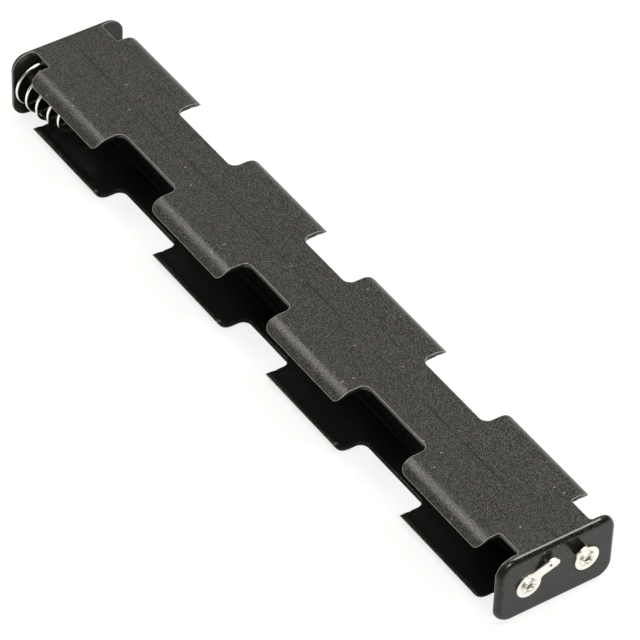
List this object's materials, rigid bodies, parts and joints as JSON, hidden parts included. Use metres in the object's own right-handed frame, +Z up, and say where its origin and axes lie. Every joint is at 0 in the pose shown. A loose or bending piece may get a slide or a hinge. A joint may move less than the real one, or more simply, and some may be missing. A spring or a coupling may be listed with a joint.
{
  "type": "cylindrical cell holder",
  "caption": "Long flat moulded holder for cylindrical cells in two rows, with curled spring tabs, conical springs at one end of each row and riveted solder lugs.",
  "frame": {"origin": "middle of the body's flat underside", "axes": "+X along the cell rows, towards the end with the solder lugs; +Z up through the flat plates, away from the underside; +Y across the two rows, towards the row that ends at the negative lug"},
  "size_m": [0.2156, 0.0324, 0.019],
  "materials": {
    "moulded_plastic": "fine matte grain, black",
    "plated_strip": "nickel plated stamping",
    "plated_wire": "nickel plated spring wire"
  },
  "bodies": {
    "holder": {"holder_body": "moulded_plastic", "positive_lug": "plated_strip", "positive_contact": "plated_strip", "positive_rivet": "plated_strip", "negative_lug": "plated_strip", "negative_rivet": "plated_strip", "link_bar": "plated_strip", "link_spring_rivet": "plated_strip", "link_contact": "plated_strip", "link_contact_rivet": "plated_strip"},
    "link_spring_tip": {"link_spring": "plated_wire"},
    "negative_spring_tip": {"negative_spring": "plated_wire"}
  },
  "joints": [
    {"name": "link_spring_press", "type": "slide", "parent": "holder", "child": "link_spring_tip", "axis": [-1, 0, 0], "range_m": [0, 0.0128], "stiffness_N_per_m": 500, "deforming": ["link_spring"]},
    {"name": "negative_spring_press", "type": "slide", "parent": "holder", "child": "negative_spring_tip", "axis": [1, 0, 0], "range_m": [0, 0.0128], "stiffness_N_per_m": 500, "deforming": ["negative_spring"]}
  ]
}
